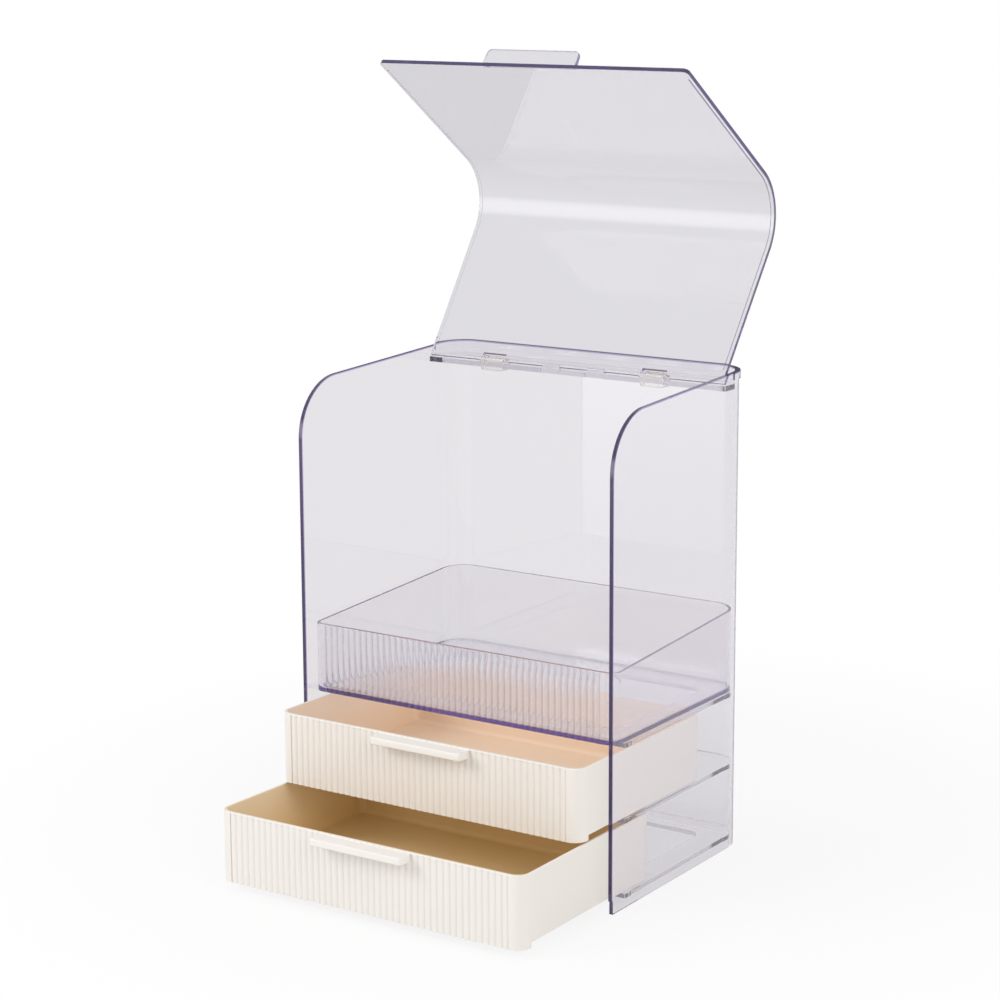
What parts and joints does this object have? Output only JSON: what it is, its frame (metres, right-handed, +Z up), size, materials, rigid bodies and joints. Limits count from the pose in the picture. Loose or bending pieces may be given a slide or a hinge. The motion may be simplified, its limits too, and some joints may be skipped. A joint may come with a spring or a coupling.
{
  "type": "makeup organizer",
  "caption": "Countertop makeup organizer: clear casing with a flip-up curved lid, an open fluted tray and sliding fluted drawers.",
  "frame": {"origin": "middle of the back wall's thickness at the foot of the casing, on the table", "axes": "+X to the right seen from the front, +Y to the rear, +Z up; the fronts face -Y"},
  "size_m": [0.275, 0.3555, 0.6011],
  "materials": {
    "clear_casing": "polished transparent plastic, faint violet tint, dark violet cut edges",
    "clear_shelf": "polished transparent plastic, faint violet tint",
    "clear_lid": "polished transparent plastic, faint violet tint",
    "clear_handle": "polished transparent plastic, nearly colourless",
    "clear_clip": "transparent plastic, faint yellow tint",
    "clear_tray": "polished transparent plastic, faint violet tint",
    "cream_drawer": "satin opaque cream plastic",
    "cream_handle": "satin opaque cream plastic"
  },
  "bodies": {
    "casing": {"casing_shell": "clear_casing", "base_shelf": "clear_shelf", "middle_shelf": "clear_shelf", "top_shelf": "clear_shelf", "hinge_rail": "clear_shelf", "hinge_clip_left": "clear_clip", "hinge_clip_right": "clear_clip"},
    "lid": {"lid_panel": "clear_lid", "lid_handle": "clear_handle"},
    "tray": {"top_tray": "clear_tray"},
    "drawer_upper": {"upper_drawer": "cream_drawer", "upper_drawer_handle": "cream_handle"},
    "drawer_lower": {"lower_drawer": "cream_drawer", "lower_drawer_handle": "cream_handle"}
  },
  "joints": [
    {"name": "lid_hinge", "type": "hinge", "parent": "casing", "child": "lid", "pos_m": [0, -0.0333, 0.3607], "axis": [-1, 0, 0], "range_deg": [-125.4, 0]},
    {"name": "tray_slide", "type": "slide", "parent": "casing", "child": "tray", "axis": [0, -1, 0], "range_m": [0, 0.03]},
    {"name": "upper_drawer_slide", "type": "slide", "parent": "casing", "child": "drawer_upper", "axis": [0, -1, 0], "range_m": [-0.0435, 0.0875]},
    {"name": "lower_drawer_slide", "type": "slide", "parent": "casing", "child": "drawer_lower", "axis": [0, -1, 0], "range_m": [-0.116, 0.015]}
  ]
}
